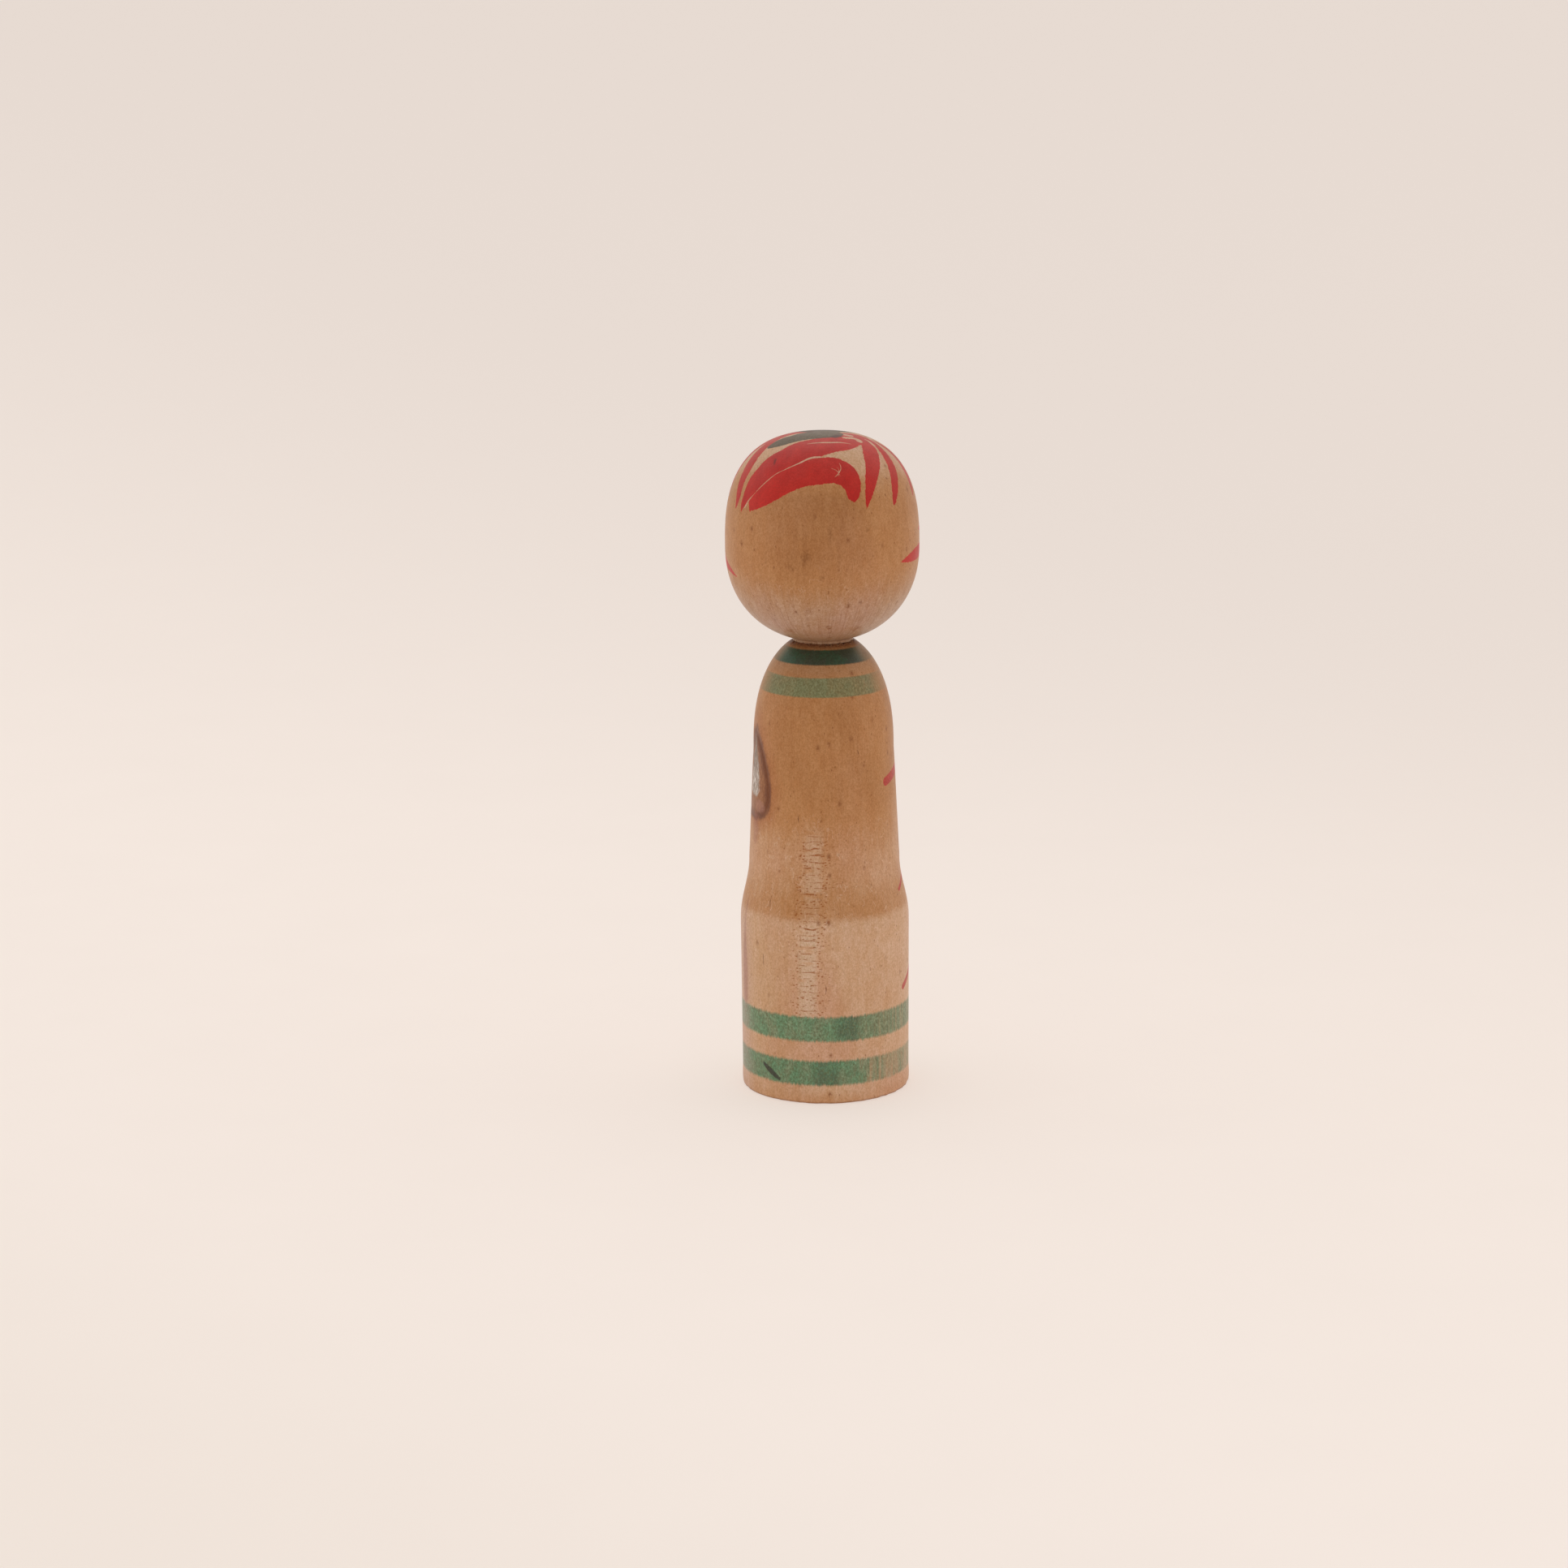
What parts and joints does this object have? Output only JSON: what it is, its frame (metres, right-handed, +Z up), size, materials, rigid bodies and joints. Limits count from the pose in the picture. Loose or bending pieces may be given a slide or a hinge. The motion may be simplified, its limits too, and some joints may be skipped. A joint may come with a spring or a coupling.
{
  "type": "kokeshi doll",
  "caption": "Turned wooden kokeshi doll: round head with its own neck peg that turns in a bored, straight-skirted body; stands on a flat base.",
  "frame": {"origin": "centre of the flat base, on the turning axis", "axes": "+Z up along the turning axis, -Y is the side with the painted face, +X is the doll's left hand side"},
  "size_m": [0.0702, 0.0702, 0.2424],
  "materials": {
    "body_wood": "hand-waxed, aged pale hardwood with painted bands and flowers",
    "head_wood": "hand-waxed, aged pale hardwood with painted hair, face and crown strokes"
  },
  "bodies": {
    "body": {"body": "body_wood"},
    "head": {"head": "head_wood"}
  },
  "joints": [
    {"name": "head_turn", "type": "hinge", "parent": "body", "child": "head", "pos_m": [0, 0, 0.167], "axis": [0, 0, 1], "continuous": true}
  ]
}
